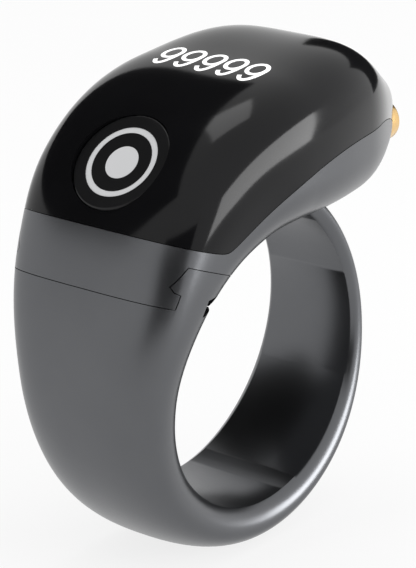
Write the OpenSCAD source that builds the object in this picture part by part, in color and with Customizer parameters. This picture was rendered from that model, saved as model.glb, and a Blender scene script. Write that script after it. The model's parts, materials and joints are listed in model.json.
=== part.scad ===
// Electronic finger-ring tally counter: display head, push buttons and slide-off finger band.
// X runs out along the head, Y along the finger, Z up. The origin is the centre of the finger bore.

/* [Parts] */
// Sub-part to build, or all of them

/* [Finger band] */
// Radius of the finger bore, a 20 mm ring size
bore_r = 10; // [8.3:0.1:12]
// Wall of the band where its tail meets the head
tail_t = 1.71; // [1.4:0.01:2.4]
// Wall of the band at its thinnest, beside the finger
thin_t = 1.32; // [1:0.01:2]
// Wall of the band under the finger
low_t = 2.82; // [2:0.01:3.6]
// Wall of the band at the joint side
joint_t = 4.2; // [3.4:0.01:5]
// Half width of the band at its tail
tail_w = 3.18; // [2.6:0.01:4]
// Half width of the band under the finger
low_w = 4.85; // [4:0.01:6]
// Half width of the band at the joint side
joint_w = 5.86; // [5:0.01:7]

/* [Head] */
// Height of the head's crown above the finger bore
crown_t = 9.18; // [7.6:0.01:11.1]
// Half width of the head at its widest
head_w = 8.3; // [6.9:0.01:10]
// Reach of the head's nose past the edge of the bore
nose_reach = 8.2; // [6.8:0.05:10]
// Height of the nose tip above the top of the bore
nose_rise = 1.3; // [1.05:0.05:1.6]
// Depth of the flat underside below the bore's top
under_drop = 0.3; // [0.2:0.01:0.4]
// Thickness of the display lens
lens_t = 1.1; // [0.9:0.05:1.35]
// Gap between parts that meet face to face
seam = 0.05; // [0.03:0.01:0.08]

/* [Count button] */
// Radius of the count button's cap
cap_r = 3.4; // [2.8:0.05:4.1]
// Radial clearance round the count button
cap_gap = 0.05; // [0.03:0.01:0.1]
// Radius of the dot on the count button
dot_r = 1.17; // [0.9:0.01:1.4]
// Travel of the count button
cap_travel = 0.3; // [0.2:0.05:0.3]

/* [Side button] */
// Radius of the side button's flange
side_r = 1.45; // [1.2:0.05:1.75]
// Radius of the side button's stem
stem_r = 0.45; // [0.35:0.05:0.55]
// Travel of the side button
side_travel = 0.4; // [0.2:0.05:0.4]

/* [Electronics] */
// Thickness of the battery
battery_t = 1.5; // [1.2:0.05:1.8]
// Thickness of the main board
board_t = 0.6; // [0.4:0.05:0.75]
// Number of digits shown
digit_count = 5; // [3:1:5]

/* [Hidden] */
crown_r = bore_r + crown_t;
nose_x = bore_r + nose_reach;
nose_z = bore_r + nose_rise;
deg_x = 180 / (PI * crown_r);
base_r = bore_r - under_drop;
cap_x0 = 0.72 * bore_r;
core_w = head_w - 3.3;
cover_x = nose_x - 8.7;
turns = [-76, -62, 0, 50, 95, 140, 180, 208, 236, 270, 290, 310, 327];
walls = [tail_t + 0.1, tail_t, thin_t, (thin_t + low_t) / 2, low_t, (low_t + joint_t) / 2 + 0.1,
    joint_t, joint_t + 0.76, crown_t - 1.68, crown_t, crown_t + 0.56, crown_t - 1.77, crown_t - 2.1];
widths = [tail_w - 0.1, tail_w, tail_w + 0.64, (tail_w + low_w) / 2 + 0.5, low_w, (low_w + joint_w) / 2 - 0.3,
    joint_w, joint_w + 1.19, head_w - 0.35, head_w, head_w - 1, head_w - 3.48, head_w - 5.95];
skew_at = [160, 180, 208.6, 222.1, 240, 270, 300];
skew_by = [0, 1, 7.2, 16, 14.5, 0, 0];
arc_n = 9;
low_n = 5;

// Smooth curve through the points (k, y)
function span(k, u, i = 0) = (i >= len(k) - 2 || u <= k[i + 1]) ? i : span(k, u, i + 1);
function grade(k, y, i) =
    let (a = max(i - 1, 0), b = min(i + 1, len(k) - 1))
    (y[b] - y[a]) / (k[b] - k[a]);
function curve(k, y, u) =
    let (i = span(k, u), h = k[i + 1] - k[i], t = (u - k[i]) / h)
    (2 * t * t * t - 3 * t * t + 1) * y[i]
    + (t * t * t - 2 * t * t + t) * h * grade(k, y, i)
    + (3 * t * t - 2 * t * t * t) * y[i + 1]
    + (t * t * t - t * t) * h * grade(k, y, i + 1);
function ease(x, a, b) = let (t = min(max((x - a) / (b - a), 0), 1)) t * t * (3 - 2 * t);
function mix(a, b, w) = a + (b - a) * w;

// One cross-section: [inner point, outer point, half width, widest height, roundness, fillet]
function station(u) =
    let (
        wall = curve(turns, walls, u),
        wide = curve(turns, widths, u),
        w = ease(u, 180, 240),
        a1 = -u,
        a0 = -u - (u > 160 ? curve(skew_at, skew_by, u) : 0),
        x = (u - 270) / deg_x,
        s = u > 270 ? min(max((x - cap_x0) / (nose_x - cap_x0), 0), 1) : 0,
        q = sqrt(max(1 - s * s, 0.000004)),
        top = bore_r + wall,
        p0 = u <= 270 ? [base_r * cos(a0), base_r * sin(a0)] : [x, mix(nose_z, base_r, q)],
        p1 = u <= 270 ? [top * cos(a1), top * sin(a1)] : [x, mix(nose_z, top, q)],
        tall = norm(p1 - p0),
        high = min(mix(0.455 * (wall), 2.57, w) * (u > 270 ? q : 1) + under_drop * q, 0.6 * tall)
    )
    [p0, p1, wide * q, high, mix(2.48, 3.9, w), min(mix(2.1, 2.58, w) * q, 0.5 * wide * q)];

// Closed outline of a cross-section, shrunk by a skin thickness
function outline(st, skin) =
    let (
        p0 = st[0], tall = norm(st[1] - p0), d = (st[1] - p0) / tall,
        w = max(st[2] - skin, 0.004), top = tall - skin, high = min(st[3], 0.75 * top),
        n = st[4], c = min(st[5], w * 0.6), low = skin * 0.6,
        half = concat(
            [for (i = [0 : low_n - 1]) let (t = 90 * i / low_n)
                [w - c + c * sin(t), high - (high - low) * cos(t)]],
            [for (i = [0 : arc_n - 1]) let (
                t = 90 * i / arc_n, r = pow(pow(cos(t), n) + pow(sin(t), n), -1 / n))
                [w * r * cos(t), high + (top - high) * r * sin(t)]]),
        m = len(half),
        ring = concat(half, [[0, top]], [for (i = [1 : m]) [-half[m - i][0], half[m - i][1]]])
    )
    [for (p = ring) [p0[0] + d[0] * p[1], -p[0], p0[1] + d[1] * p[1]]];

// Solid skinned through cross-sections at the given turns
module skinned(us, skin = 0) {
    rings = [for (u = us) outline(station(u), skin)];
    n = len(rings[0]);
    m = len(us);
    polyhedron(
        points = [for (r = rings) each r],
        faces = concat(
            [[for (j = [0 : n - 1]) n - 1 - j]],
            [for (i = [0 : m - 2], j = [0 : n - 1], k = [0, 1])
                let (a = i * n + j, b = i * n + (j + 1) % n)
                k == 0 ? [b, a + n, a] : [b + n, a + n, b]],
            [[for (j = [0 : n - 1]) (m - 1) * n + j]]));
}

function turn_of(x) = 270 + x * deg_x;
nose_turns = [for (i = [1 : 10]) turn_of(cap_x0 + (nose_x - cap_x0) * sin(9 * i))];
head_turns = concat([for (u = [200 : 6 : 266]) u], [for (i = [0 : 4]) turn_of(cap_x0 * i / 4)], nose_turns);
inner_turns = concat([for (u = [216 : 6 : 264]) u], [for (i = [0 : 4]) turn_of(cap_x0 * i / 4)],
    [for (i = [1 : 8]) turn_of(cap_x0 + (nose_x - 1.6 - cap_x0) * sin(9 * i))]);
band_turns = concat([-71], [for (u = [-64 : 8 : 184]) u], [for (u = [190 : 8 : 238]) u]);

// Prism drawn in the XZ plane, running along Y from y0 to y1
module side_prism(points, y0 = -20, y1 = 20) {
    translate([0, y1, 0])
        rotate([90, 0, 0])
            linear_extrude(height = y1 - y0)
                polygon(points);
}

module box(x, y, z) {
    translate([x[0], y[0], z[0]])
        cube([x[1] - x[0], y[1] - y[0], z[1] - z[0]]);
}

module finger_bore() {
    rotate([90, 0, 0])
        cylinder(r = bore_r, h = 60, center = true, $fn = 120);
}

// Edge of the lens seen from the side
function seat_front(x) = crown_r - 0.902 * crown_t - 0.338 * (x + 1.202 * bore_r);
function seat_side(x) =
    let (front = max(0.6 * bore_r - x, 0), back = max(x - 0.9 * bore_r, 0))
    crown_r - crown_t * (0.548 + 0.425 * pow(front / (1.3 * bore_r), 2.1)
        + 0.316 * pow(back / (nose_x - 0.97 * bore_r), 1.5));
function seat(x) =
    let (a = seat_front(x), b = seat_side(x))
    (a + b + sqrt((a - b) * (a - b) + 0.25)) / 2;
seat_x = concat([-crown_r, -1.1 * bore_r, -0.96 * bore_r],
    [for (x = [-0.9 : 0.06 : -0.3]) x * bore_r], [for (x = [-0.15 * bore_r : 1.5 : nose_x + 3]) x]);
module lens_zone(lift) {
    side_prism(concat([for (x = seat_x) [x, seat(x) + lift]],
        [[nose_x + 4, crown_r + 20], [-crown_r, crown_r + 20]]));
}

// Point at a turn round the bore, a share of the way through the wall
function wall_point(turn, part) =
    (bore_r + part * curve(turns, walls, turn)) * [cos(turn), -sin(turn)];

// Hooked edge between the band and the head, seen from the side; grow widens the band's share
hook_at = [[209.97, 0.762], [213.86, 0.751], [213.89, 0.812], [214.75, 0.845], [220.38, 0.758]];
hook_out = [[-0.61, 1.19], [-1.22, -0.37], [-0.88, -0.6], [-1.09, 0.25], [-0.32, 1.18]];
function hook_line(grow) =
    let (bend = [for (i = [0 : 4]) wall_point(hook_at[i][0], hook_at[i][1]) + grow * hook_out[i]])
    concat([bend[0] + [-8, 2.02]], bend, [bend[4] + bore_r * [0.61, -0.225]]);
module band_zone(grow) {
    side_prism(concat(hook_line(grow), [[-0.5 * bore_r, -20], [-2 * bore_r, -20]]));
}

// Dovetail rib that carries the band's tail
rib_x = 0.475 * bore_r;
module tail_rib(grow, y0, y1) {
    side_prism([[rib_x - 0.55 - grow, base_r - 0.6], [rib_x - 0.55 - grow, base_r],
        [rib_x - 0.8 - grow, base_r + 1.1 + grow], [rib_x + 0.8 + grow, base_r + 1.1 + grow],
        [rib_x + 0.55 + grow, base_r], [rib_x + 0.55 + grow, base_r - 0.6]], y0, y1);
}

// Count button's own frame: its Z points out through the lens
button_turn = 237;
button_c = (bore_r + curve(turns, walls, button_turn)) * [cos(-button_turn), sin(-button_turn)];
button_tilt = 44.8;
module at_button() {
    translate([button_c[0], 0, button_c[1]])
        rotate([0, -button_tilt, 0])
            children();
}

function button_point(c, up) =
    [button_c[0] + c * cos(button_tilt) - up * sin(button_tilt),
        button_c[1] + c * sin(button_tilt) + up * cos(button_tilt)];

// Side button's own frame: its Z points out of the nose
side_z = nose_z + 0.2;
module at_side(x = 0) {
    translate([x, 0, side_z])
        rotate([0, 90, 0])
            children();
}

recess_x = nose_x - 1.9;
wall_x = nose_x - 3.1;
floor_z = base_r + 2.3;
battery_z = floor_z + 0.22;
board_z = battery_z + battery_t + 0.2;
display_x = -0.6;
display_z = crown_r - lens_t - 0.78;
carrier_w = 2.95;
spring_r = carrier_w - 0.35;
carrier_end = button_point(carrier_w, -4.9)[0];
flange_r = cap_r + 0.35;
flange_z = -lens_t - 1.25;
ring_r = cap_r - 0.87;
ring_t = 0.42;
digit_w = 1.36 * (core_w - 0.95) / 4.05 * 5 / digit_count;
module at_display() {
    translate([display_x, 0, display_z])
        rotate([0, -9, 0])
            children();
}

module tube(r_out, r_in, h) {
    difference() {
        cylinder(r = r_out, h = h, $fn = 60);
        translate([0, 0, -1])
            cylinder(r = r_in, h = h + 2, $fn = 60);
    }
}

// Round wire wound along Z
module coil(r, wire, tall, rounds) {
    steps = 14 * rounds;
    sides = 6;
    points = [for (i = [0 : steps], j = [0 : sides - 1])
        let (a = 360 * rounds * i / steps, b = 360 * j / sides, c = r + wire * cos(b))
        [c * cos(a), c * sin(a), wire + (tall - 2 * wire) * i / steps + wire * sin(b)]];
    polyhedron(
        points = points,
        faces = concat(
            [[for (j = [0 : sides - 1]) sides - 1 - j]],
            [for (i = [0 : steps - 1], j = [0 : sides - 1], k = [0, 1])
                let (a = i * sides + j, b = i * sides + (j + 1) % sides)
                k == 0 ? [b, a + sides, a] : [b + sides, a + sides, b]],
            [[for (j = [0 : sides - 1]) steps * sides + j]]));
}

module head_housing() {
    color([0.3, 0.31, 0.32])
    difference() {
        skinned(head_turns);
        lens_zone(0);
        band_zone(seam);
        finger_bore();
        tail_rib(seam, -2.6, 20);
        at_button() {
            translate([0, 0, flange_z - cap_travel - 0.1])
                cylinder(r = flange_r + 0.2, h = 6, $fn = 90);
            translate([-carrier_w - 0.1, -3.4, -4.95])
                cube([2 * carrier_w + 0.2, 6.8, 5]);
        }
        box([carrier_end - 1.6, nose_x - 10], [-core_w, core_w], [floor_z, crown_r + 10]);
        box([nose_x - 10.1, nose_x - 5.6], [1.7 - core_w, core_w - 1.7], [floor_z, crown_r + 10]);
        box([nose_x - 5.9, wall_x], [-1.7, 1.7], [side_z - 0.9, crown_r + 10]);
        at_side(recess_x)
            cylinder(r = side_r + 0.4, h = 8, $fn = 60);
        at_side(wall_x - 1)
            cylinder(r = stem_r + 0.17, h = 4, $fn = 48);
        box([cover_x - 2.2, cover_x + 2.2], [-3.6, 3.6], [base_r - 2, base_r + 1.2]);
        box([cover_x - 1.6, cover_x + 1.6], [-2.3, 2.3], [base_r, floor_z + 1]);
        for (y = [-1, 1])
            translate([cover_x, 2.95 * y, base_r])
                cylinder(r = 0.3, h = 2, $fn = 24);
    }
}

module display_lens() {
    color([0.05, 0.05, 0.06])
    difference() {
        intersection() {
            skinned(head_turns);
            lens_zone(seam);
        }
        skinned(inner_turns, lens_t);
        at_button()
            translate([0, 0, -6])
                cylinder(r = cap_r + cap_gap, h = 12, $fn = 90);
        at_button()
            translate([0, 0, -6])
                cylinder(r = flange_r + 0.1, h = 6.46 + flange_z, $fn = 90);
        at_side(recess_x)
            cylinder(r = side_r + 0.4, h = 8, $fn = 60);
        at_side(wall_x - 1)
            cylinder(r = stem_r + 0.17, h = 4, $fn = 48);
    }
}

module count_button() {
    color([0.08, 0.08, 0.09])
    at_button()
    difference() {
        union() {
            translate([0, 0, flange_z + 0.2])
                cylinder(r = cap_r, h = -flange_z - 0.55, $fn = 90);
            translate([0, 0, flange_z])
                cylinder(r = flange_r, h = 0.4, $fn = 90);
            translate([0, 0, -2.6])
                cylinder(r = 0.9, h = 1, $fn = 40);
        }
        translate([0, 0, 30.4 - 0.65])
            sphere(r = 30.2, $fn = 120);
        translate([0, 0, -0.7])
            tube(ring_r, ring_r - ring_t, 1);
        translate([0, 0, -0.7])
            cylinder(r = dot_r, h = 1, $fn = 60);
    }
}

module button_ring_mark() {
    color([0.9, 0.9, 0.9])
    at_button()
        translate([0, 0, -0.69])
            tube(ring_r - 0.01, ring_r - ring_t + 0.01, 0.29);
}

module button_dot_mark() {
    color([0.9, 0.9, 0.9])
    at_button()
        translate([0, 0, -0.69])
            cylinder(r = dot_r - 0.01, h = 0.26, $fn = 60);
}

module button_spring() {
    color([0.75, 0.75, 0.76])
    at_button()
        translate([0, 0, -4.17])
            coil(spring_r, 0.14, 4.15 + flange_z, 3);
}

module count_switch() {
    color([0.75, 0.74, 0.7])
    at_button() {
        translate([-1.4, -1.4, -4.18])
            cube([2.8, 2.8, 0.95]);
        translate([0, 0, -3.3])
            cylinder(r = 0.7, h = 0.38, $fn = 36);
    }
}

module switch_carrier() {
    color([0.1, 0.35, 0.2])
    at_button()
        translate([-carrier_w, -3.2, -4.9])
            cube([2 * carrier_w, 6.4, 0.7]);
}

module switch_flex() {
    p = button_point(carrier_w + 0.05, -4.6);
    z = board_z + board_t;
    color([0.8, 0.5, 0.15])
        side_prism([p, [p[0] + 0.1, p[1]], [p[0] + 0.1, z + 0.02], [p[0] + 0.9, z + 0.02],
            [p[0] + 0.9, z + 0.12], [p[0], z + 0.12]], -1.2, 1.2);
}

module side_button() {
    color([0.85, 0.7, 0.42])
    difference() {
        union() {
            at_side(recess_x + 0.65)
                cylinder(r = side_r, h = 1, $fn = 60);
            at_side(recess_x + 1)
                cylinder(r = 0.8, h = 1.5, $fn = 48);
            at_side(wall_x - 0.58)
                cylinder(r = stem_r, h = 3, $fn = 40);
        }
        at_side(recess_x + 1.4)
            tube(side_r - 0.2, 0.9, 1);
        at_side(wall_x - 0.36)
            tube(2, stem_r - 0.1, 0.26);
        at_side(wall_x + 0.4)
            tube(2, stem_r - 0.1, 0.4);
    }
}

module side_button_seal() {
    color([0.1, 0.1, 0.1])
    at_side(wall_x + 0.41)
        tube(stem_r + 0.15, stem_r - 0.09, 0.38);
}

module side_button_clip() {
    color([0.7, 0.7, 0.72])
    at_side(wall_x - 0.35)
        tube(stem_r + 0.33, stem_r - 0.09, 0.24);
}

module side_button_spring() {
    color([0.75, 0.75, 0.76])
    at_side(recess_x + 0.01)
        coil(1.05, 0.09, 0.63, 2);
}

module side_switch() {
    color([0.75, 0.74, 0.7])
    union() {
        box([wall_x - 2.2, wall_x - 1.2], [-1.2, 1.2], [side_z - 0.55, side_z + 0.95]);
        at_side(wall_x - 1.25)
            cylinder(r = 0.4, h = 0.25, $fn = 30);
    }
}

module side_switch_board() {
    color([0.1, 0.35, 0.2])
        box([wall_x - 2.75, wall_x - 2.22], [-1.6, 1.6], [side_z - 0.8, board_z - 0.05]);
}

module main_board() {
    color([0.1, 0.35, 0.2])
    union() {
        box([carrier_end + 0.06, nose_x - 10.3], [0.4 - core_w, core_w - 0.4], [board_z, board_z + board_t]);
        box([nose_x - 10.4, nose_x - 6.3], [2 - core_w, core_w - 2], [board_z, board_z + board_t]);
    }
}

module processor_chip() {
    color([0.06, 0.06, 0.07])
        box([display_x - 2, display_x + 2], [-2, 2], [board_z + board_t, board_z + board_t + 0.65]);
}

module charge_chip() {
    color([0.06, 0.06, 0.07])
        box([nose_x - 14, nose_x - 12], [1.2, 3.2], [board_z + board_t, board_z + board_t + 0.6]);
}

module board_capacitors() {
    color([0.7, 0.6, 0.45])
        for (i = [0 : 5])
            translate([nose_x - 14 + 0.45 * i, -3.2, board_z + board_t])
                cube([0.3, 0.6, 0.35]);
}

module battery() {
    color([0.7, 0.71, 0.73])
        box([carrier_end + 0.6, nose_x - 10.8], [0.5 - core_w, core_w - 0.5],
            [battery_z, battery_z + battery_t]);
}

module battery_pad() {
    color([0.15, 0.15, 0.16])
        box([carrier_end + 1, nose_x - 11.2], [0.8 - core_w, core_w - 0.8],
            [floor_z + 0.01, battery_z - 0.01]);
}

module battery_leads() {
    color([0.7, 0.1, 0.1])
    for (y = [-1.2, 0.9]) {
        box([nose_x - 10.79, nose_x - 10.3], [y, y + 0.3], [battery_z + 0.6, battery_z + 0.9]);
        box([nose_x - 10.6, nose_x - 10.3], [y, y + 0.3], [battery_z + 0.8, board_z - 0.01]);
    }
}

module display_module() {
    color([0.1, 0.1, 0.14])
    at_display()
        box([-3, 3], [0.5 - core_w, core_w - 0.5], [-1, 0]);
}

module display_digits() {
    color([0.95, 0.95, 0.95])
    at_display()
    for (i = [0 : digit_count - 1])
        translate([0, digit_w * 1.19 * (i - (digit_count - 1) / 2), 0.01]) {
            translate([1.3 - digit_w / 2, 0, 0])
                tube(digit_w / 2, digit_w / 2 - 0.24, 0.05);
            translate([-1.3, -digit_w / 2, 0])
                cube([2.6 - digit_w / 2, 0.24, 0.05]);
        }
}

module display_frame() {
    color([0.12, 0.12, 0.13])
    at_display()
    difference() {
        box([-3.3, 3.3], [0.2 - core_w, core_w - 0.2], [-1.7, -1.01]);
        box([-2.7, 2.7], [1 - core_w, core_w - 1], [-3, 0]);
    }
}

module display_flex() {
    color([0.8, 0.5, 0.15])
        side_prism([[display_x + 3.16, display_z - 0.2], [display_x + 3.75, display_z - 0.15],
            [display_x + 3.75, board_z + board_t + 0.01], [display_x + 3.65, board_z + board_t + 0.01],
            [display_x + 3.65, display_z - 0.25],
            [display_x + 3.16, display_z - 0.3]], -2.6, 2.6);
}

module vibration_motor() {
    color([0.75, 0.76, 0.78])
        translate([cover_x - 0.4, 0, board_z + board_t + 0.01])
            cylinder(r = 2.1, h = 1.4, $fn = 60);
}

module base_cover() {
    color([0.28, 0.29, 0.3])
    difference() {
        union() {
            box([cover_x - 2.15, cover_x + 2.15], [-3.55, 3.55], [base_r + 0.18, base_r + 1.05]);
            box([cover_x - 1.55, cover_x + 1.55], [-2.25, 2.25], [base_r + 1, floor_z - 0.05]);
        }
        for (y = [-1, 1]) {
            translate([cover_x, 1.15 * y, 0])
                cylinder(r = 0.62, h = 20, $fn = 36);
            translate([cover_x, 2.95 * y, 0])
                cylinder(r = 0.32, h = 20, $fn = 24);
            translate([cover_x, 2.95 * y, base_r - 1])
                cylinder(r = 0.52, h = 1.5, $fn = 30);
        }
        for (x = [-1.05, 1.05])
            translate([cover_x + x, 0, base_r + 0.8])
                cylinder(r = 0.51, h = 3, $fn = 30);
    }
}

module base_gasket() {
    color([0.1, 0.1, 0.1])
    difference() {
        box([cover_x - 2.1, cover_x + 2.1], [-2.6, 2.6], [base_r + 1.06, base_r + 1.19]);
        box([cover_x - 1.58, cover_x + 1.58], [-2.28, 2.28], [0, 20]);
    }
}

module cover_screws() {
    color([0.7, 0.7, 0.72])
    for (y = [-1, 1])
        translate([cover_x, 2.95 * y, 0]) {
            translate([0, 0, base_r + 0.22])
                cylinder(r = 0.5, h = 0.27, $fn = 30);
            translate([0, 0, base_r + 0.4])
                cylinder(r = 0.28, h = 1.5, $fn = 24);
        }
}

module charge_contacts() {
    color([0.85, 0.7, 0.42])
    for (y = [-1, 1])
        translate([cover_x, 1.15 * y, base_r + 0.2])
            cylinder(r = 0.6, h = 2.1, $fn = 36);
}

module charge_magnets() {
    color([0.7, 0.7, 0.72])
    for (x = [-1.05, 1.05])
        translate([cover_x + x, 0, base_r + 0.81])
            cylinder(r = 0.5, h = 1.3, $fn = 30);
}

module finger_band() {
    color([0.3, 0.31, 0.32])
    union() {
        difference() {
            skinned(band_turns);
            side_prism(concat(hook_line(0), [[rib_x - 2.55, base_r - 0.5], [rib_x - 2.55, base_r - seam],
                [3 * bore_r, base_r - seam], [3 * bore_r, 4 * bore_r], [-2 * bore_r, 4 * bore_r]]));
            finger_bore();
            side_prism(bore_r * [[-0.985, 0.597], [-0.95, 0.702], [-0.8, 0.702], [-0.8, 0.597]],
                -2 * joint_w, 0.26 - joint_w);
        }
        difference() {
            tail_rib(0, -2.4, 2.4);
            finger_bore();
        }
    }
}

head_housing();
display_lens();
count_button();
button_ring_mark();
button_dot_mark();
button_spring();
count_switch();
switch_carrier();
switch_flex();
side_button();
side_button_seal();
side_button_clip();
side_button_spring();
side_switch();
side_switch_board();
main_board();
processor_chip();
charge_chip();
board_capacitors();
battery();
battery_pad();
battery_leads();
display_module();
display_digits();
display_frame();
display_flex();
vibration_motor();
base_cover();
base_gasket();
cover_screws();
charge_contacts();
charge_magnets();
finger_band();
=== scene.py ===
import bpy
import bmesh
import json
from math import cos, pi, radians, sin, sqrt
from mathutils import Matrix, Vector


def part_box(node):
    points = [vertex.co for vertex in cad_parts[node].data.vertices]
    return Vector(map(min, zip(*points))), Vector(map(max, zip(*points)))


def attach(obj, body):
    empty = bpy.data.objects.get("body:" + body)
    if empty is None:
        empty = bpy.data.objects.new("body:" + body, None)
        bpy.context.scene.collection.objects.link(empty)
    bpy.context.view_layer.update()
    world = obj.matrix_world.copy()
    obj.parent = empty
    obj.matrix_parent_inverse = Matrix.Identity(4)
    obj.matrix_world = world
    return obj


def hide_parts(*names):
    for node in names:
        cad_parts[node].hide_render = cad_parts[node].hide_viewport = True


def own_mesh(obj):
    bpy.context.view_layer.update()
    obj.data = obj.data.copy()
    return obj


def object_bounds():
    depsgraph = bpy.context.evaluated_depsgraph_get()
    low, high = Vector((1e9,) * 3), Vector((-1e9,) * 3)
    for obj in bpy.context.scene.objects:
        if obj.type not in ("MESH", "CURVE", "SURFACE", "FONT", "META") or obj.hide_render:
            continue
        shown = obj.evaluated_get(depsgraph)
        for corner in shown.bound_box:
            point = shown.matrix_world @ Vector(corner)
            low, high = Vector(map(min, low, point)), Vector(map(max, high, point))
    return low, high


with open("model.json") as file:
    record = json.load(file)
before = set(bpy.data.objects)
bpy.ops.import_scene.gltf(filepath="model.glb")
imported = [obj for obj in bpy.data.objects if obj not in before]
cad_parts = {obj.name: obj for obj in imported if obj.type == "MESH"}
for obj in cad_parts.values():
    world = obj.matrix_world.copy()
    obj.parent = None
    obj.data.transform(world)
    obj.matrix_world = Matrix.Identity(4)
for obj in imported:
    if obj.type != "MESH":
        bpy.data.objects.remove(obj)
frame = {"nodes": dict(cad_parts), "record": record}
cadLow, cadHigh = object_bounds()
nodes = frame["nodes"]
record = frame["record"]
mm = 0.001
print("frame loaded:", len(nodes), "nodes")

# What a maker would change, one dictionary for each piece
shell = {"tailWall": 1.71, "thinWall": 1.32, "lowWall": 2.82, "jointWall": 4.2, "crownWall": 9.18,
         "tailHalf": 3.18, "lowHalf": 4.85, "jointHalf": 5.86, "headHalf": 8.3,
         "noseX": 18.2, "noseZ": 11.3, "underDrop": 0.3, "seam": 0.05}
lens = {"wall": 1.1, "edgeStep": 0.25}
pushCap = {"radius": 3.4, "gap": 0.05, "flange": 3.75, "tilt": 44.8, "turn": 237, "ring": 2.53,
           "ringWidth": 0.42, "dot": 1.17, "round": 0.12, "sunk": 0.35, "markDeep": 0.7,
           "dishRadius": 30.2, "dishCentre": 29.75, "flangeTop": 1.95, "flangeLow": 2.35, "foot": 0.9,
           "footLow": 2.6, "steps": 128}
goldPush = {"flange": 1.45, "boss": 0.8, "stem": 0.45, "recess": 0.4, "steps": 96}
digits = {"count": 5, "tall": 2.8, "figureWide": 1.5, "pitch": 1.72, "stroke": 0.29, "baseX": -2.05,
          "middleY": 0.0, "proud": 0.012}
rooms = {"switchX": 3.05, "switchY": 3.4, "switchDeep": 4.95, "flangeGap": 0.2, "flangeLow": 2.75,
         "stemGap": 0.17, "coreStart": 2.2, "coreEnd": 10, "noseStart": 10.1, "noseEnd": 5.6,
         "noseIn": 1.7, "sideStart": 5.9, "sideHalf": 1.7, "sideLow": 0.9, "above": 29}
cover = {"ledgeX": 2.2, "ledgeY": 3.6, "ledgeDeep": 1.2, "windowX": 1.6, "windowY": 2.3, "screw": 0.3,
         "screwY": 2.95}

boreR = record["mounts"][0]["dims"]["r_mm"]
crownR = boreR + shell["crownWall"]
baseR = boreR - shell["underDrop"]
capX = 0.72 * boreR
degPerMm = 180 / (pi * crownR)
sideZ = shell["noseZ"] + 0.2
recessX = shell["noseX"] - 1.9
wallX = shell["noseX"] - 3.1
floorZ = baseR + 2.3
coverX = shell["noseX"] - 8.7
ribX = 0.475 * boreR
coreHalf = shell["headHalf"] - 3.3

turnKeys = [-76, -62, 0, 50, 95, 140, 180, 208, 236, 270, 290, 310, 327]
tailW, thinW, lowW = (shell[k] for k in ("tailWall", "thinWall", "lowWall"))
jointW, crownW = shell["jointWall"], shell["crownWall"]
wallKeys = [tailW + 0.1, tailW, thinW, (thinW + lowW) / 2, lowW, (lowW + jointW) / 2 + 0.1, jointW,
            jointW + 0.76, crownW - 1.68, crownW, crownW + 0.56, crownW - 1.77, crownW - 2.1]
tailH, lowH, jointH, headH = (shell[k] for k in ("tailHalf", "lowHalf", "jointHalf", "headHalf"))
halfKeys = [tailH - 0.1, tailH, tailH + 0.64, (tailH + lowH) / 2 + 0.5, lowH, (lowH + jointH) / 2 - 0.3,
            jointH, jointH + 1.19, headH - 0.35, headH, headH - 1, headH - 3.48, headH - 5.95]
skewKeys, skewBy = [160, 180, 208.6, 222.1, 240, 270, 300], [0, 1, 7.2, 16, 14.5, 0, 0]


def slopeAt(keys, values, k):
    before, after = max(k - 1, 0), min(k + 1, len(keys) - 1)
    return (values[after] - values[before]) / (keys[after] - keys[before])


def smoothCurve(keys, values, u):
    i = 0
    while i < len(keys) - 2 and u > keys[i + 1]:
        i += 1
    h = keys[i + 1] - keys[i]
    t = (u - keys[i]) / h
    first, second = slopeAt(keys, values, i), slopeAt(keys, values, i + 1)
    return ((2 * t ** 3 - 3 * t * t + 1) * values[i] + (t ** 3 - 2 * t * t + t) * h * first
            + (3 * t * t - 2 * t ** 3) * values[i + 1] + (t ** 3 - t * t) * h * second)


def easeIn(x, a, b):
    t = min(max((x - a) / (b - a), 0), 1)
    return t * t * (3 - 2 * t)


def mix(a, b, w):
    return a + (b - a) * w


def outlineAt(u, skin, lowCount, arcCount):
    # closed outline of the ring's section at a turn, in millimetres
    wall = smoothCurve(turnKeys, wallKeys, u)
    w = easeIn(u, 180, 240)
    x = (u - 270) / degPerMm
    s = min(max((x - capX) / (shell["noseX"] - capX), 0), 1) if u > 270 else 0
    q = sqrt(max(1 - s * s, 0.000004))
    top = boreR + wall
    if u <= 270:
        a1 = radians(-u)
        a0 = a1 - (radians(smoothCurve(skewKeys, skewBy, u)) if u > 160 else 0)
        p0, p1 = Vector((baseR * cos(a0), baseR * sin(a0))), Vector((top * cos(a1), top * sin(a1)))
    else:
        p0, p1 = Vector((x, mix(shell["noseZ"], baseR, q))), Vector((x, mix(shell["noseZ"], top, q)))
    tall = (p1 - p0).length
    d = (p1 - p0) / tall
    high = min(mix(0.455 * wall, 2.57, w) * (q if u > 270 else 1) + shell["underDrop"] * q, 0.6 * tall)
    wide = smoothCurve(turnKeys, halfKeys, u) * q
    n, fillet = mix(2.48, 3.9, w), min(mix(2.1, 2.58, w) * q, 0.5 * wide)
    half, top2 = max(wide - skin, 0.004), tall - skin
    high, c, low = min(high, 0.75 * top2), min(fillet, half * 0.6), skin * 0.6
    side = []
    for i in range(lowCount):
        t = radians(90 * i / lowCount)
        side.append((half - c + c * sin(t), high - (high - low) * cos(t)))
    for i in range(arcCount):
        t = radians(90 * i / arcCount)
        r = (cos(t) ** n + sin(t) ** n) ** (-1 / n)
        side.append((half * r * cos(t), high + (top2 - high) * r * sin(t)))
    ring = side + [(0, top2)] + [(-a, b) for a, b in reversed(side)]
    return [Vector((p0.x + d.x * b, -a, p0.y + d.y * b)) for a, b in ring]


def turnOf(x):
    return 270 + x * degPerMm


def deselectAll():
    if bpy.context.object and bpy.context.object.mode != "OBJECT":
        bpy.ops.object.mode_set(mode="OBJECT")
    bpy.ops.object.select_all(action="DESELECT")


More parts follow.
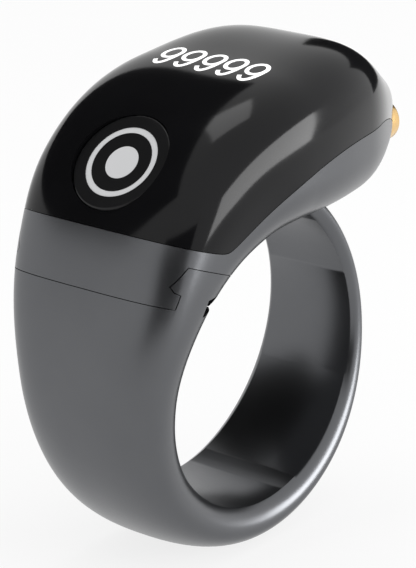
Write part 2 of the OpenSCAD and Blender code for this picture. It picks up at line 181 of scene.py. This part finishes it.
def makeActive(obj):
    deselectAll()
    obj.select_set(True)
    bpy.context.view_layer.objects.active = obj


def loft(name, turns, skin=0, lowCount=12, arcCount=34):
    # a grid is added, its rows are laid on the sections, and its seam and ends are closed
    rings = [outlineAt(u, skin, lowCount, arcCount) for u in turns]
    across = len(rings[0])
    deselectAll()
    bpy.ops.mesh.primitive_grid_add(x_subdivisions=len(rings) - 1, y_subdivisions=across, size=1)
    obj = bpy.context.object
    obj.name = name
    for v in obj.data.vertices:
        i = round((v.co.x + 0.5) * (len(rings) - 1))
        j = round((v.co.y + 0.5) * across) % across
        v.co = rings[i][j] * mm
    bpy.ops.object.mode_set(mode="EDIT")
    bpy.ops.mesh.select_all(action="SELECT")
    bpy.ops.mesh.remove_doubles(threshold=1e-8)
    bpy.ops.mesh.select_all(action="SELECT")
    bpy.ops.mesh.fill_holes(sides=0)
    bpy.ops.mesh.select_all(action="SELECT")
    bpy.ops.mesh.normals_make_consistent(inside=False)
    bpy.ops.object.mode_set(mode="OBJECT")
    return obj


def prism(points, y0=-20, y1=20):
    # a flat outline in X and Z, extruded along Y
    deselectAll()
    bpy.ops.mesh.primitive_circle_add(vertices=len(points), radius=1, fill_type="NGON")
    obj = bpy.context.object
    for v, p in zip(obj.data.vertices, points):
        v.co = Vector((p[0], y0, p[1])) * mm
    bpy.ops.object.mode_set(mode="EDIT")
    bpy.ops.mesh.select_all(action="SELECT")
    bpy.ops.mesh.extrude_region_move(TRANSFORM_OT_translate={"value": (0, (y1 - y0) * mm, 0)})
    bpy.ops.mesh.select_all(action="SELECT")
    bpy.ops.mesh.normals_make_consistent(inside=False)
    bpy.ops.object.mode_set(mode="OBJECT")
    return obj


def block(x, y, z):
    deselectAll()
    centre = Vector(((x[0] + x[1]) / 2, (y[0] + y[1]) / 2, (z[0] + z[1]) / 2)) * mm
    size = Vector((x[1] - x[0], y[1] - y[0], z[1] - z[0])) * mm
    bpy.ops.mesh.primitive_cube_add(size=1, location=centre, scale=size)
    bpy.ops.object.transform_apply(location=True, rotation=True, scale=True)
    return bpy.context.object


def rod(radius, low, high, place, sides=96):
    # a cylinder along the Z axis of a placing matrix
    deselectAll()
    bpy.ops.mesh.primitive_cylinder_add(vertices=sides, radius=radius * mm, depth=(high - low) * mm,
                                        location=(0, 0, (low + high) / 2 * mm))
    obj = bpy.context.object
    bpy.ops.object.transform_apply(location=True, rotation=True, scale=True)
    obj.data.transform(place)
    return obj


def cut(obj, tool, how="DIFFERENCE"):
    mod = obj.modifiers.new("cut", "BOOLEAN")
    mod.operation, mod.object, mod.solver = how, tool, "EXACT"
    makeActive(obj)
    bpy.ops.object.modifier_apply(modifier=mod.name)
    bpy.data.objects.remove(tool)
    return obj


def tidyShell(obj, angle=30):
    makeActive(obj)
    bpy.ops.object.mode_set(mode="EDIT")
    bpy.ops.mesh.select_all(action="SELECT")
    bpy.ops.mesh.remove_doubles(threshold=2e-7)
    bpy.ops.mesh.select_all(action="SELECT")
    bpy.ops.mesh.normals_make_consistent(inside=False)
    bpy.ops.object.mode_set(mode="OBJECT")
    bpy.ops.object.shade_smooth_by_angle(angle=radians(angle))
    return obj


def spun(name, profile, place, steps):
    # a profile of (radius, height) points, laid on a ring of edges and spun about the local Z axis
    deselectAll()
    bpy.ops.mesh.primitive_circle_add(vertices=len(profile), radius=1, fill_type="NOTHING")
    obj = bpy.context.object
    obj.name = name
    for v, p in zip(obj.data.vertices, profile):
        v.co = Vector((p[0], 0, p[1])) * mm
    bpy.ops.object.mode_set(mode="EDIT")
    bm = bmesh.from_edit_mesh(obj.data)
    closing = [e for e in bm.edges if all(abs(v.co.x) < 1e-9 for v in e.verts)]
    bmesh.ops.delete(bm, geom=closing, context="EDGES")
    bmesh.update_edit_mesh(obj.data)
    bpy.ops.mesh.select_all(action="SELECT")
    bpy.ops.mesh.spin(steps=steps, dupli=False, angle=2 * pi, center=(0, 0, 0), axis=(0, 0, 1))
    bpy.ops.mesh.select_all(action="SELECT")
    bpy.ops.mesh.remove_doubles(threshold=1e-7)
    bpy.ops.mesh.select_all(action="SELECT")
    bpy.ops.mesh.normals_make_consistent(inside=False)
    bpy.ops.object.mode_set(mode="OBJECT")
    obj.data.transform(place)
    bpy.ops.object.shade_smooth_by_angle(angle=radians(30))
    return obj


# Frames that the round pieces are built in
crownAt = boreR + smoothCurve(turnKeys, wallKeys, pushCap["turn"])
pushCentre = Vector((cos(radians(pushCap["turn"])), 0, -sin(radians(pushCap["turn"])))) * crownAt
atPush = Matrix.Translation(pushCentre * mm) @ Matrix.Rotation(radians(-pushCap["tilt"]), 4, "Y")
atSide = Matrix.Translation((0, 0, sideZ * mm)) @ Matrix.Rotation(radians(90), 4, "Y")
alongBore = Matrix.Rotation(radians(90), 4, "X")


def seatFront(x):
    return crownR - 0.902 * crownW - 0.338 * (x + 1.202 * boreR)


def seatSide(x):
    front, back = max(0.6 * boreR - x, 0), max(x - 0.9 * boreR, 0)
    return crownR - crownW * (0.548 + 0.425 * (front / (1.3 * boreR)) ** 2.1
                              + 0.316 * (back / (shell["noseX"] - 0.97 * boreR)) ** 1.5)


def seatHeight(x):
    a, b = seatFront(x), seatSide(x)
    return (a + b + sqrt((a - b) ** 2 + 0.25)) / 2


def lensZone(lift):
    count = round((shell["noseX"] + 3 + crownR) / lens["edgeStep"])
    line = [-crownR + (shell["noseX"] + 3 + crownR) * i / count for i in range(count + 1)]
    return prism([(x, seatHeight(x) + lift) for x in line]
                 + [(shell["noseX"] + 4, crownR + 20), (-crownR - 1, crownR + 20)])


hookAt = [(209.97, 0.762), (213.86, 0.751), (213.89, 0.812), (214.75, 0.845), (220.38, 0.758)]
hookOut = [(-0.61, 1.19), (-1.22, -0.37), (-0.88, -0.6), (-1.09, 0.25), (-0.32, 1.18)]


def hookLine(grow):
    line = []
    for (turn, part), out in zip(hookAt, hookOut):
        r = boreR + part * smoothCurve(turnKeys, wallKeys, turn)
        line.append((r * cos(radians(turn)) + grow * out[0], -r * sin(radians(turn)) + grow * out[1]))
    return ([(line[0][0] - 8, line[0][1] + 2.02)] + line
            + [(line[-1][0] + 0.61 * boreR, line[-1][1] - 0.225 * boreR)])


def tailRib(grow, y0, y1):
    return prism([(ribX - 0.55 - grow, baseR - 0.6), (ribX - 0.55 - grow, baseR),
                  (ribX - 0.8 - grow, baseR + 1.1 + grow), (ribX + 0.8 + grow, baseR + 1.1 + grow),
                  (ribX + 0.55 + grow, baseR), (ribX + 0.55 + grow, baseR - 0.6)], y0, y1)


def headTurns(start):
    turns = [start + (270 - start) * i / 48 for i in range(48)] + [turnOf(capX * i / 20) for i in range(20)]
    return turns + [turnOf(capX + (shell["noseX"] - capX) * sin(radians(90 * i / 34))) for i in range(35)]


# Lower half of the head
housing = loft("headHousingShell", headTurns(200))
cut(housing, lensZone(0))
cut(housing, prism(hookLine(shell["seam"]) + [(-0.5 * boreR, -20), (-2 * boreR, -20)]))
cut(housing, rod(boreR, -30, 30, alongBore, 240))
cut(housing, tailRib(shell["seam"], -2.6, 20))
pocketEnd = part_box("battery")[0].x / mm - rooms["coreStart"]
cut(housing, rod(pushCap["flange"] + rooms["flangeGap"], -rooms["flangeLow"], pushCap["radius"], atPush))
pocket = block((-rooms["switchX"], rooms["switchX"]), (-rooms["switchY"], rooms["switchY"]),
               (-rooms["switchDeep"], 0.05))
pocket.data.transform(atPush)
cut(housing, pocket)
cut(housing, block((pocketEnd, shell["noseX"] - rooms["coreEnd"]), (-coreHalf, coreHalf),
                   (floorZ, rooms["above"])))
cut(housing, block((shell["noseX"] - rooms["noseStart"], shell["noseX"] - rooms["noseEnd"]),
                   (rooms["noseIn"] - coreHalf, coreHalf - rooms["noseIn"]), (floorZ, rooms["above"] + 0.1)))
cut(housing, block((shell["noseX"] - rooms["sideStart"], wallX), (-rooms["sideHalf"], rooms["sideHalf"]),
                   (sideZ - rooms["sideLow"], rooms["above"] + 0.2)))
cut(housing, rod(goldPush["flange"] + goldPush["recess"], recessX, recessX + 8, atSide))
cut(housing, rod(goldPush["stem"] + rooms["stemGap"], wallX - 1, wallX + 3, atSide, 48))
cut(housing, block((coverX - cover["ledgeX"], coverX + cover["ledgeX"]),
                   (-cover["ledgeY"], cover["ledgeY"]), (baseR - 2, baseR + cover["ledgeDeep"])))
cut(housing, block((coverX - cover["windowX"], coverX + cover["windowX"]),
                   (-cover["windowY"], cover["windowY"]), (baseR, floorZ + 1)))
for y in (-1, 1):
    atScrew = Matrix.Translation((coverX * mm, cover["screwY"] * y * mm, 0))
    cut(housing, rod(cover["screw"], baseR, baseR + 2, atScrew, 24))
tidyShell(housing)
print("head housing made:", len(housing.data.polygons), "faces")

# Glossy display lens over the head
dome = loft("displayLensDome", headTurns(200))
cut(dome, lensZone(shell["seam"]), "INTERSECT")
inner = [216 + 3 * i for i in range(17)] + [turnOf(capX * i / 8) for i in range(9)]
inner += [turnOf(capX + (shell["noseX"] - 1.6 - capX) * sin(radians(9 * i))) for i in range(1, 9)]
cut(dome, loft("lensHollow", inner, lens["wall"], 6, 16))
cut(dome, rod(pushCap["radius"] + pushCap["gap"], -6, 6, atPush, 128))
cut(dome, rod(goldPush["flange"] + goldPush["recess"], recessX, recessX + 8, atSide))
cut(dome, rod(goldPush["stem"] + rooms["stemGap"], wallX - 1, wallX + 3, atSide, 48))
tidyShell(dome)
print("display lens made:", len(dome.data.polygons), "faces")

# Finger band with its hooked end and dovetail rib
band = loft("fingerBandShell", [-71 + 309 * i / 150 for i in range(151)])
seamZ = baseR - shell["seam"]
cut(band, prism(hookLine(0) + [(ribX - 2.55, baseR - 0.5), (ribX - 2.55, seamZ), (3 * boreR, seamZ),
                               (3 * boreR, 4 * boreR), (-2 * boreR, 4 * boreR)]))
cut(band, rod(boreR, -30, 30, alongBore, 240))
notch = [(-0.985, 0.597), (-0.95, 0.702), (-0.8, 0.702), (-0.8, 0.597)]
cut(band, prism([(boreR * a, boreR * b) for a, b in notch], -2 * shell["jointHalf"],
                0.26 - shell["jointHalf"]))
rib = tailRib(0, -2.4, 2.4)
cut(rib, rod(boreR, -30, 30, alongBore, 240))
cut(band, rib, "UNION")
tidyShell(band)
print("finger band made:", len(band.data.polygons), "faces")

def dishAt(x):
    return min(-pushCap["sunk"], pushCap["dishCentre"] - sqrt(pushCap["dishRadius"] ** 2 - x * x))


# Count button, spun round its own axis
r, f, b = pushCap["radius"], pushCap["flange"], pushCap["round"]
ringIn, markZ = pushCap["ring"] - pushCap["ringWidth"], -pushCap["markDeep"]
topZ, lowZ = -pushCap["flangeTop"], -pushCap["flangeLow"]
capProfile = [(0, markZ), (pushCap["dot"], markZ)]
capProfile += [(x, dishAt(x)) for x in (pushCap["dot"], 1.4, 1.6, 1.8, 2.0, ringIn)]
capProfile += [(ringIn, markZ), (pushCap["ring"], markZ)]
capProfile += [(x, dishAt(x)) for x in (pushCap["ring"], 2.7, 2.9, 3.1)]
capProfile += [(r - b + b * sin(radians(a)), -pushCap["sunk"] - b + b * cos(radians(a)))
               for a in (0, 22, 45, 68, 90)]
capProfile += [(r, topZ), (f, topZ), (f, lowZ), (pushCap["foot"], lowZ)]
capProfile += [(pushCap["foot"], -pushCap["footLow"]), (0, -pushCap["footLow"])]
countCap = spun("countButtonCap", capProfile, atPush, pushCap["steps"])

# Gold side button, stepped and dished
g, o, s = goldPush["flange"], goldPush["boss"], goldPush["stem"]
x0 = recessX + 0.65
goldProfile = [(0, wallX - 0.58), (s - 0.05, wallX - 0.58), (s, wallX - 0.53), (s, wallX - 0.36),
               (s - 0.1, wallX - 0.36), (s - 0.1, wallX - 0.1), (s, wallX - 0.1), (s, wallX + 0.4),
               (s - 0.1, wallX + 0.4), (s - 0.1, wallX + 0.8), (s, wallX + 0.8), (s, x0), (g - 0.06, x0),
               (g, x0 + 0.06), (g, x0 + 0.9), (g - 0.03, x0 + 0.97), (g - 0.1, x0 + 1),
               (g - 0.17, x0 + 0.97), (g - 0.24, x0 + 0.84), (g - 0.34, x0 + 0.77), (o + 0.12, x0 + 0.75),
               (o + 0.04, x0 + 0.79), (o, x0 + 0.9), (o, x0 + 1.65), (o - 0.03, x0 + 1.77),
               (o - 0.1, x0 + 1.84), (o - 0.2, x0 + 1.85), (o * 0.5, x0 + 1.82), (0, x0 + 1.8)]
goldCap = spun("goldButtonBody", goldProfile, atSide, goldPush["steps"])
print("buttons made")

# Lit digits: one figure is drawn as two bent strips, copied, and laid on the dome
def bentStrip(path, half):
    deselectAll()
    bpy.ops.mesh.primitive_grid_add(x_subdivisions=len(path) - 1, y_subdivisions=3, size=1)
    obj = bpy.context.object
    for v in obj.data.vertices:
        i = round((v.co.x + 0.5) * (len(path) - 1))
        before, after = Vector(path[max(i - 1, 0)]), Vector(path[min(i + 1, len(path) - 1)])
        if path[0] == path[-1] and i in (0, len(path) - 1):
            before, after = Vector(path[-2]), Vector(path[1])
        along = (after - before).normalized()
        place = Vector(path[i]) + Vector((-along.y, along.x)) * (2 * v.co.y * half)
        v.co = Vector((digits["baseX"] + place.y, digits["middleY"] - place.x, crownR + 5)) * mm
    return obj


def figureNine(middle):
    half, tall = digits["stroke"] / 2, digits["tall"] - digits["stroke"]
    across = digits["figureWide"] / 2 - half
    loop = [(middle + across * cos(radians(a)), half + tall * 0.68 + tall * 0.32 * sin(radians(a)))
            for a in range(0, 360, 10)]
    tail = [(middle + across * cos(radians(a)), half + tall * 0.56 * (1 + sin(radians(a))))
            for a in range(14, -146, -8)]
    return [bentStrip(loop + loop[:1], half), bentStrip(tail, half)]


strips = []
for i in range(digits["count"]):
    strips += figureNine((i - (digits["count"] - 1) / 2) * digits["pitch"])
deselectAll()
for obj in strips:
    obj.select_set(True)
bpy.context.view_layer.objects.active = strips[0]
bpy.ops.object.join()
figures = bpy.context.object
figures.name = "displayFigures"
drape = figures.modifiers.new("drape", "SHRINKWRAP")
drape.target, drape.wrap_method, drape.use_project_z = dome, "PROJECT", True
drape.use_negative_direction, drape.use_positive_direction = True, False
bpy.ops.object.modifier_apply(modifier="drape")
thick = figures.modifiers.new("thick", "SOLIDIFY")
thick.thickness, thick.offset = 2 * digits["proud"] * mm, 0
bpy.ops.object.modifier_apply(modifier="thick")
bpy.ops.object.shade_smooth_by_angle(angle=radians(30))
print("digits laid")


# Grain and wear shared by the materials
def surfaceGroup():
    group = bpy.data.node_groups.new("surfaceGrain", "ShaderNodeTree")
    sockets = (("Base", "NodeSocketColor", (0.1, 0.1, 0.1, 1)),
               ("Worn", "NodeSocketColor", (0.2, 0.2, 0.2, 1)),
               ("Grain size", "NodeSocketFloat", 2000), ("Wear", "NodeSocketFloat", 0.1),
               ("Roughness", "NodeSocketFloat", 0.3), ("Roughness spread", "NodeSocketFloat", 0.05))
    for name, kind, value in sockets:
        item = group.interface.new_socket(name=name, in_out="INPUT", socket_type=kind)
        item.default_value = value
    results = (("Color", "NodeSocketColor"), ("Roughness", "NodeSocketFloat"), ("Height", "NodeSocketFloat"))
    for name, kind in results:
        group.interface.new_socket(name=name, in_out="OUTPUT", socket_type=kind)
    add = group.nodes.new
    join = group.links.new
    take, give, place = add("NodeGroupInput"), add("NodeGroupOutput"), add("ShaderNodeTexCoord")
    fine, broad = add("ShaderNodeTexNoise"), add("ShaderNodeTexNoise")
    fine.inputs["Detail"].default_value = 3
    broad.inputs["Scale"].default_value = 180
    broad.inputs["Detail"].default_value = 5
    join(place.outputs["Object"], fine.inputs["Vector"])
    join(place.outputs["Object"], broad.inputs["Vector"])
    join(take.outputs["Grain size"], fine.inputs["Scale"])
    patch = add("ShaderNodeMapRange")
    patch.inputs["From Min"].default_value, patch.inputs["From Max"].default_value = 0.45, 0.75
    join(broad.outputs["Fac"], patch.inputs["Value"])
    amount = add("ShaderNodeMath")
    amount.operation = "MULTIPLY"
    join(patch.outputs["Result"], amount.inputs[0])
    join(take.outputs["Wear"], amount.inputs[1])
    tint = add("ShaderNodeMix")
    tint.data_type = "RGBA"
    join(amount.outputs[0], tint.inputs["Factor"])
    join(take.outputs["Base"], tint.inputs["A"])
    join(take.outputs["Worn"], tint.inputs["B"])
    join(tint.outputs["Result"], give.inputs["Color"])
    spread = add("ShaderNodeMath")
    spread.operation = "MULTIPLY_ADD"
    centre = add("ShaderNodeMath")
    centre.operation = "SUBTRACT"
    centre.inputs[1].default_value = 0.5
    join(fine.outputs["Fac"], centre.inputs[0])
    join(centre.outputs[0], spread.inputs[0])
    join(take.outputs["Roughness spread"], spread.inputs[1])
    join(take.outputs["Roughness"], spread.inputs[2])
    join(spread.outputs[0], give.inputs["Roughness"])
    join(fine.outputs["Fac"], give.inputs["Height"])
    return group


grain = surfaceGroup()
finishes = {
    "greyMetal": {"base": (0.128, 0.131, 0.138), "worn": (0.15, 0.153, 0.16), "metal": 1.0, "rough": 0.3,
                  "bump": 0.03, "size": 9000, "spread": 0.08, "wear": 0.35},
    "lensBlack": {"base": (0.004, 0.004, 0.0045), "worn": (0.007, 0.007, 0.008), "rough": 0.11,
                  "bump": 0.004, "size": 3000, "spread": 0.03, "wear": 0.4, "ior": 1.3},
    "capBlack": {"base": (0.009, 0.009, 0.0095), "worn": (0.014, 0.014, 0.015), "rough": 0.3, "bump": 0.03,
                 "size": 9000, "spread": 0.06, "wear": 0.5, "ior": 1.3},
    "markWhite": {"base": (0.66, 0.665, 0.675), "worn": (0.6, 0.6, 0.61), "rough": 0.45, "bump": 0.02,
                  "size": 6000, "spread": 0.08, "wear": 0.3},
    "figureWhite": {"base": (0.9, 0.9, 0.9), "worn": (0.82, 0.84, 0.86), "rough": 0.4, "bump": 0.01,
                    "size": 6000, "spread": 0.05, "wear": 0.2, "glow": 0.55},
    "gold": {"base": (0.83, 0.55, 0.23), "worn": (0.9, 0.68, 0.4), "metal": 1.0, "rough": 0.22,
             "bump": 0.03, "size": 8000, "spread": 0.1, "wear": 0.4},
    "steel": {"base": (0.55, 0.56, 0.58), "worn": (0.4, 0.4, 0.42), "metal": 1.0, "rough": 0.3,
              "bump": 0.05, "size": 7000, "spread": 0.12, "wear": 0.4},
    "board": {"base": (0.02, 0.14, 0.06), "worn": (0.04, 0.2, 0.09), "rough": 0.42, "bump": 0.06,
              "size": 4000, "spread": 0.1, "wear": 0.6},
    "film": {"base": (0.55, 0.26, 0.05), "worn": (0.65, 0.36, 0.1), "rough": 0.32, "bump": 0.04,
             "size": 3000, "spread": 0.08, "wear": 0.5},
    "rubber": {"base": (0.02, 0.02, 0.02), "worn": (0.05, 0.05, 0.05), "rough": 0.75, "bump": 0.15,
               "size": 6000, "spread": 0.1, "wear": 0.5},
    "chip": {"base": (0.018, 0.018, 0.02), "worn": (0.04, 0.04, 0.042), "rough": 0.6, "bump": 0.1,
             "size": 8000, "spread": 0.1, "wear": 0.4},
    "fired": {"base": (0.42, 0.3, 0.17), "worn": (0.5, 0.38, 0.24), "rough": 0.5, "bump": 0.05,
              "size": 9000, "spread": 0.1, "wear": 0.5},
    "foil": {"base": (0.6, 0.61, 0.63), "worn": (0.5, 0.51, 0.54), "metal": 1.0, "rough": 0.35,
             "bump": 0.12, "size": 1500, "spread": 0.12, "wear": 0.6},
    "lead": {"base": (0.45, 0.02, 0.02), "worn": (0.55, 0.06, 0.05), "rough": 0.45, "bump": 0.05,
             "size": 6000, "spread": 0.08, "wear": 0.4},
    "coverGrey": {"base": (0.05, 0.05, 0.053), "worn": (0.08, 0.08, 0.083), "rough": 0.5, "bump": 0.08,
                  "size": 7000, "spread": 0.1, "wear": 0.4},
    "panel": {"base": (0.012, 0.012, 0.02), "worn": (0.02, 0.02, 0.03), "rough": 0.12, "bump": 0.01,
              "size": 5000, "spread": 0.04, "wear": 0.3},
}


def material(name):
    look = finishes[name]
    made = bpy.data.materials.new(name)
    made.use_nodes = True
    tree = made.node_tree
    shader = tree.nodes["Principled BSDF"]
    shader.inputs["Metallic"].default_value = look.get("metal", 0.0)
    shader.inputs["IOR"].default_value = look.get("ior", 1.45)
    part = tree.nodes.new("ShaderNodeGroup")
    part.node_tree = grain
    part.inputs["Base"].default_value = (*look["base"], 1)
    part.inputs["Worn"].default_value = (*look["worn"], 1)
    part.inputs["Grain size"].default_value = look["size"]
    part.inputs["Wear"].default_value = look["wear"]
    part.inputs["Roughness"].default_value = look["rough"]
    part.inputs["Roughness spread"].default_value = look["spread"]
    tree.links.new(part.outputs["Color"], shader.inputs["Base Color"])
    tree.links.new(part.outputs["Roughness"], shader.inputs["Roughness"])
    bump = tree.nodes.new("ShaderNodeBump")
    bump.inputs["Strength"].default_value = look["bump"]
    bump.inputs["Distance"].default_value = 0.02 * mm
    tree.links.new(part.outputs["Height"], bump.inputs["Height"])
    tree.links.new(bump.outputs["Normal"], shader.inputs["Normal"])
    if "glow" in look:
        tree.links.new(part.outputs["Color"], shader.inputs["Emission Color"])
        shader.inputs["Emission Strength"].default_value = look["glow"]
    return made


made = {name: material(name) for name in finishes}
paintOf = {"button_ring_mark": "markWhite", "button_dot_mark": "markWhite", "button_spring": "steel",
           "count_switch": "steel", "switch_carrier": "board", "switch_flex": "film",
           "side_button_seal": "rubber", "side_button_clip": "steel", "side_button_spring": "steel",
           "side_switch": "steel", "side_switch_board": "board", "main_board": "board",
           "processor_chip": "chip", "charge_chip": "chip", "board_capacitors": "fired",
           "battery": "foil", "battery_pad": "rubber", "battery_leads": "lead", "display_module": "panel",
           "display_frame": "chip", "display_flex": "film", "vibration_motor": "steel",
           "base_cover": "coverGrey", "base_gasket": "rubber", "cover_screws": "steel",
           "charge_contacts": "gold", "charge_magnets": "steel"}
for name, look in paintOf.items():
    mesh = nodes[name].data
    mesh.materials.clear()
    mesh.materials.append(made[look])

fitted = [(housing, "head", "head_housing", "greyMetal", "grey_metal"),
          (dome, "head", "display_lens", "lensBlack", "black_lens"),
          (band, "band", "finger_band", "greyMetal", "grey_metal"),
          (countCap, "count_key", "count_button", "capBlack", "button_black"),
          (goldCap, "side_key", "side_button", "gold", "gold_metal"),
          (figures, "head", "display_digits", "figureWhite", "white_mark")]
for obj, body, node, look, slotName in fitted:
    obj.data.materials.clear()
    obj.data.materials.append(made[look])
    for p in obj.data.polygons:
        p.material_index = 0
    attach(obj, body)
    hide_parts(node)

# Springs: copies of the drawn coils, merged
pushAxis = (atPush.to_3x3() @ Vector((0, 0, 1))).normalized()
coils = {"button_spring": {"joint": "count_press", "axis": pushAxis,
                           "from": atPush @ Vector((0, 0, -4.17 * mm)), "keep": 0.82},
         "side_button_spring": {"joint": "side_press", "axis": Vector((1, 0, 0)),
                                "from": Vector(((recessX + 0.01) * mm, 0, sideZ * mm)), "keep": 0.35}}
for name, coil in coils.items():
    turns = bpy.data.objects.new(name + "_coil", nodes[name].data.copy())
    bpy.context.scene.collection.objects.link(turns)
    makeActive(turns)
    bpy.ops.object.mode_set(mode="EDIT")
    bpy.ops.mesh.select_all(action="SELECT")
    bpy.ops.mesh.remove_doubles(threshold=1e-7)
    bpy.ops.object.mode_set(mode="OBJECT")
    bpy.ops.object.shade_smooth_by_angle(angle=radians(60))
    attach(turns, "head")
    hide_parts(name)
    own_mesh(turns)
print("materials placed")

# Floor, lamps, world and camera
studio = {"floor": 12, "cameraAt": (-140.26, -115.02, 64.74), "lookAt": (0.582, 1.247, 3.719),
          "lensMm": 186.4}
deselectAll()
bpy.ops.mesh.primitive_plane_add(size=studio["floor"], location=(0, 0, cadLow.z - 0.00002))
ground = bpy.context.object
ground.name = "studioFloor"


def rayShare(tree):
    # 1 for camera, glossy and transmission rays
    path = tree.nodes.new("ShaderNodeLightPath")
    first, second = tree.nodes.new("ShaderNodeMath"), tree.nodes.new("ShaderNodeMath")
    first.operation = second.operation = "MAXIMUM"
    tree.links.new(path.outputs["Is Camera Ray"], first.inputs[0])
    tree.links.new(path.outputs["Is Glossy Ray"], first.inputs[1])
    tree.links.new(first.outputs[0], second.inputs[0])
    tree.links.new(path.outputs["Is Transmission Ray"], second.inputs[1])
    return second.outputs[0]


floorLook = bpy.data.materials.new("floorWhite")
floorLook.use_nodes = True
tree = floorLook.node_tree
base = tree.nodes["Principled BSDF"]
base.inputs["Base Color"].default_value = (0.85, 0.85, 0.85, 1)
base.inputs["Roughness"].default_value = 0.9
glow = tree.nodes.new("ShaderNodeEmission")
share = tree.nodes.new("ShaderNodeMath")
share.operation = "MULTIPLY"
share.inputs[1].default_value = 0.8
tree.links.new(rayShare(tree), share.inputs[0])
blendIn = tree.nodes.new("ShaderNodeMixShader")
tree.links.new(share.outputs[0], blendIn.inputs[0])
tree.links.new(base.outputs[0], blendIn.inputs[1])
tree.links.new(glow.outputs[0], blendIn.inputs[2])
tree.links.new(blendIn.outputs[0], tree.nodes["Material Output"].inputs["Surface"])
ground.data.materials.append(floorLook)

world = bpy.data.worlds.new("studioWorld")
bpy.context.scene.world = world
world.use_nodes = True
tree = world.node_tree
tree.nodes["Background"].inputs["Color"].default_value = (1, 1, 1, 1)
strength = tree.nodes.new("ShaderNodeMapRange")
strength.inputs["To Min"].default_value, strength.inputs["To Max"].default_value = 0.85, 1.0
tree.links.new(rayShare(tree), strength.inputs["Value"])
tree.links.new(strength.outputs["Result"], tree.nodes["Background"].inputs["Strength"])

lamps = {"frontBox": {"turn": -66, "lift": 10, "far": 260, "size": (250, 125), "power": 0.75},
         "topBox": {"turn": 60, "lift": 75, "far": 320, "size": (120, 120), "power": 0.12}}
cards = {"cardLeft": {"turn": 206, "lift": -10, "far": 240, "size": (270, 340)},
         "cardBack": {"turn": 105, "lift": 42, "far": 240, "size": (420, 240)},
         "cardRight": {"turn": 14, "lift": 12, "far": 240, "size": (170, 150)}}


def around(thing):
    turn, lift = radians(thing["turn"]), radians(thing["lift"])
    return Vector((cos(turn) * cos(lift), sin(turn) * cos(lift), sin(lift))) * thing["far"] * mm


cardLook = bpy.data.materials.new("cardBlack")
cardLook.use_nodes = True
cardLook.node_tree.nodes["Principled BSDF"].inputs["Base Color"].default_value = (0.004, 0.004, 0.004, 1)
cardLook.node_tree.nodes["Principled BSDF"].inputs["Roughness"].default_value = 1.0
for name, card in cards.items():
    deselectAll()
    bpy.ops.mesh.primitive_plane_add(size=1)
    obj = bpy.context.object
    obj.name = name
    obj.scale = (card["size"][0] * mm, card["size"][1] * mm, 1)
    obj.location = around(card)
    obj.rotation_euler = (-obj.location).to_track_quat("Z", "Y").to_euler()
    obj.visible_camera = obj.visible_diffuse = obj.visible_shadow = False
    obj.data.materials.append(cardLook)

for name, lamp in lamps.items():
    light = bpy.data.lights.new(name, "AREA")
    light.shape, light.energy = "RECTANGLE", lamp["power"]
    light.size, light.size_y = lamp["size"][0] * mm, lamp["size"][1] * mm
    obj = bpy.data.objects.new(name, light)
    bpy.context.scene.collection.objects.link(obj)
    obj.location = around(lamp)
    obj.rotation_euler = (-obj.location).to_track_quat("-Z", "Y").to_euler()

camera = bpy.data.objects.new("studioCamera", bpy.data.cameras.new("studioCamera"))
bpy.context.scene.collection.objects.link(camera)
bpy.context.scene.camera = camera
camera.location = Vector(studio["cameraAt"]) * mm
aim = Vector(studio["lookAt"]) * mm - camera.location
camera.rotation_euler = aim.to_track_quat("-Z", "Y").to_euler()
camera.data.lens = studio["lensMm"]
camera.data.clip_start, camera.data.clip_end = 0.01, 10
bpy.context.scene.view_settings.view_transform = "Standard"

print("scene ready")
